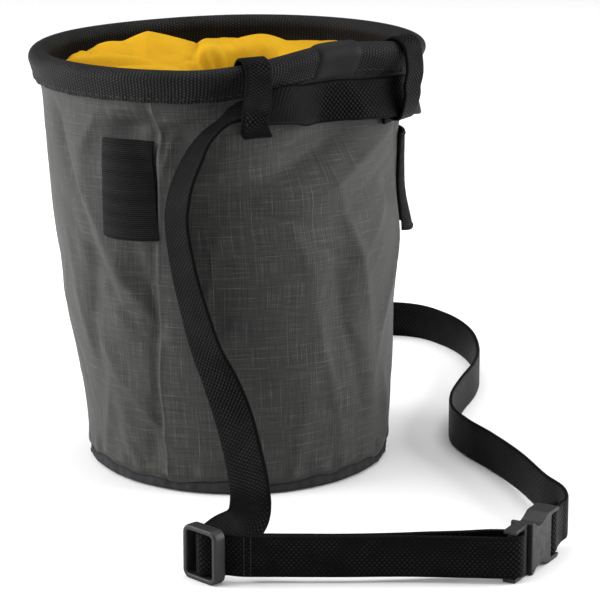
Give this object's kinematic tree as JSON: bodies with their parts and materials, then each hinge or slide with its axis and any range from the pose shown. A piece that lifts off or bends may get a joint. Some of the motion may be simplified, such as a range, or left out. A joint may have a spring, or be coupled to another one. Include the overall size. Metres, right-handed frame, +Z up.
{
  "type": "climbing chalk bag",
  "caption": "Round cloth chalk bag with a stiff rolled rim, gathered yellow closure, brush sleeves and a waist belt laid out with slider and side-release buckle.",
  "frame": {"origin": "middle of the round base, on the floor that the bag stands on", "axes": "+Z up through the mouth, -Y the front that the picture shows, +X to the picture's right, where the belt runs out"},
  "size_m": [0.1953, 0.3053, 0.1647],
  "materials": {
    "ripstop": "dark grey ripstop weave",
    "base_cloth": "coarse dark weave",
    "grosgrain": "ribbed binding tape",
    "smooth_patch": "smooth coated tape",
    "yellow_cloth": "light plain weave, soft sheen",
    "elastic": "ribbed knitted elastic",
    "webbing": "ribbed flat webbing",
    "plastic": "fine matte moulded"
  },
  "bodies": {
    "root": {"bag_shell": "ripstop", "base_panel": "base_cloth", "rim_binding": "grosgrain", "rim_joint_patch": "smooth_patch", "closure_skirt": "yellow_cloth", "brush_sleeve_left": "elastic", "brush_sleeve_right": "elastic", "belt_loop_front": "webbing", "belt_loop_right": "webbing", "belt_side": "webbing", "belt_back": "webbing", "belt_band": "webbing", "belt_drop": "webbing", "belt_front": "webbing", "slider": "plastic", "buckle_plug": "plastic", "buckle_socket": "plastic"}
  },
  "joints": []
}
